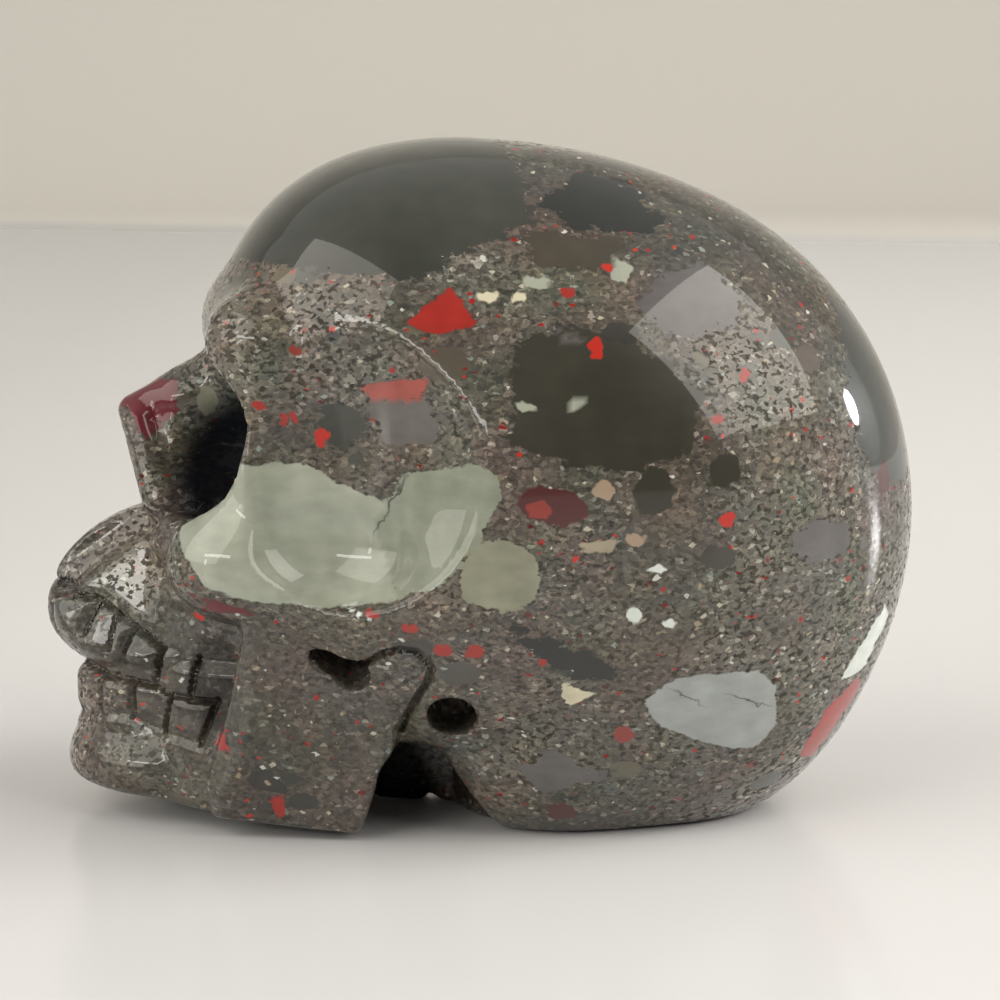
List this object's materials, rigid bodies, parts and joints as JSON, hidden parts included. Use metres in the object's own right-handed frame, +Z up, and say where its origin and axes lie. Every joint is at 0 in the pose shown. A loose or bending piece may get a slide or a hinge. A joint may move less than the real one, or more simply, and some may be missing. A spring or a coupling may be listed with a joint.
{
  "type": "polished stone skull carving",
  "caption": "Small human skull carved in one piece of polished brecciated bloodstone, with hollow eye sockets and nose, cut teeth and a flat base.",
  "frame": {"origin": "on the surface the skull stands on, under the middle of its length and width", "axes": "+Z up, -Y the way the face looks, +X the skull's left side"},
  "size_m": [0.0512, 0.075, 0.0578],
  "materials": {
    "bloodstone": "high gloss polish on dark grey-brown breccia with grey, green, red and white fragments; fine matt patches round the teeth"
  },
  "bodies": {
    "root": {"skull": "bloodstone"}
  },
  "joints": []
}
